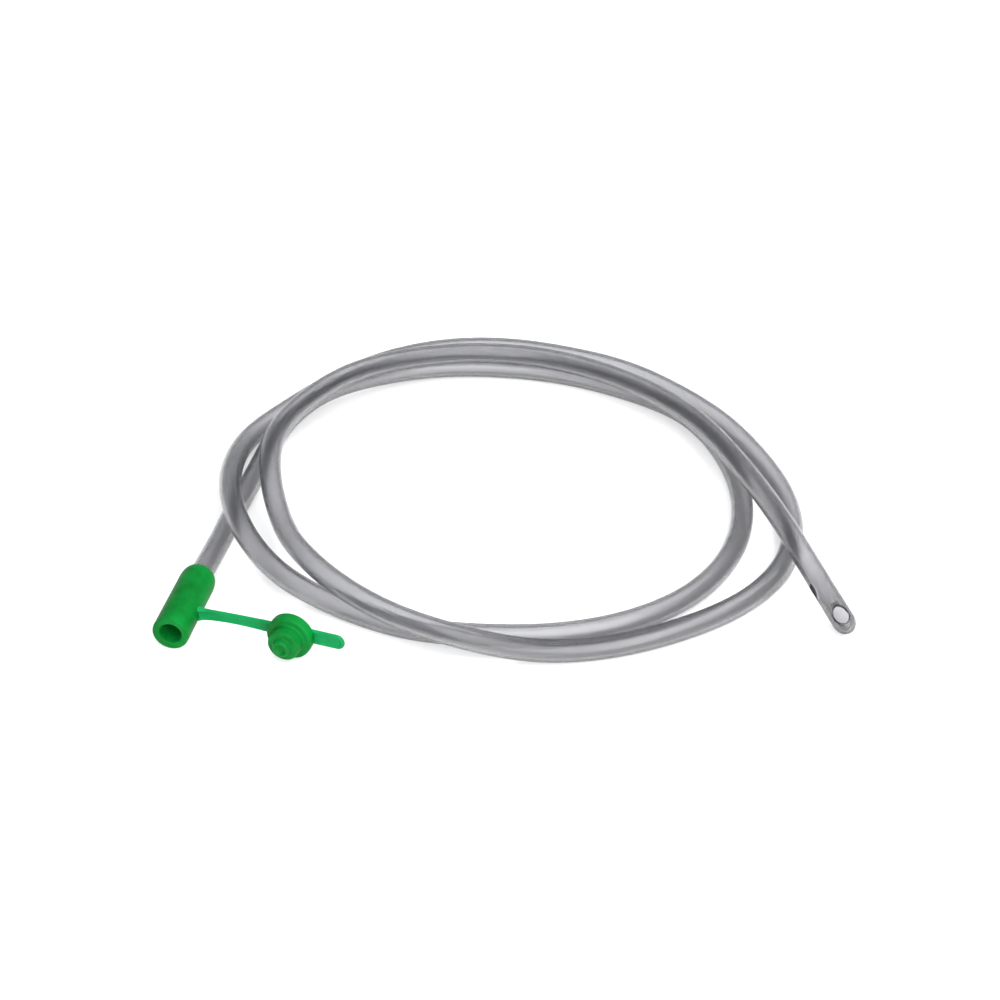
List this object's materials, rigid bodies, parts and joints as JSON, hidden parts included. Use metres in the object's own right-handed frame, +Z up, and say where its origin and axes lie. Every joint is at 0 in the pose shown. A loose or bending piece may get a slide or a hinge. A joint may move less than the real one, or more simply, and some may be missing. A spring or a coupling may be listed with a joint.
{
  "type": "gastric tube",
  "caption": "Long clear flexible tube with side eyes near its closed rounded tip, coiled loosely on a surface, with a green funnel connector and a tethered stopper plug",
  "frame": {"origin": "centre of the bounding box's bottom face, on the surface that the coil lies on", "axes": "+X along the strap from the funnel to the plug and to the tip's side, +Y from the funnel's mouth side to the far side of the coil, +Z up"},
  "size_m": [0.1431, 0.1316, 0.0119],
  "materials": {
    "clear_pvc": "clear soft PVC, glossy",
    "green_pvc": "soft moulded PVC, satin",
    "green_strap": "thin soft moulded PVC, satin",
    "green_plug": "soft moulded PVC, satin"
  },
  "bodies": {
    "body": {"tube": "clear_pvc", "funnel": "green_pvc", "strap": "green_strap"},
    "plug": {"plug": "green_plug"}
  },
  "joints": [
    {"name": "plug_swing", "type": "hinge", "parent": "body", "child": "plug", "pos_m": [-0.04601, -0.06418, 0.00422], "axis": [0.041, 0.0004, -0.9992], "range_deg": [0, 170.9], "deforming": ["strap"]}
  ]
}
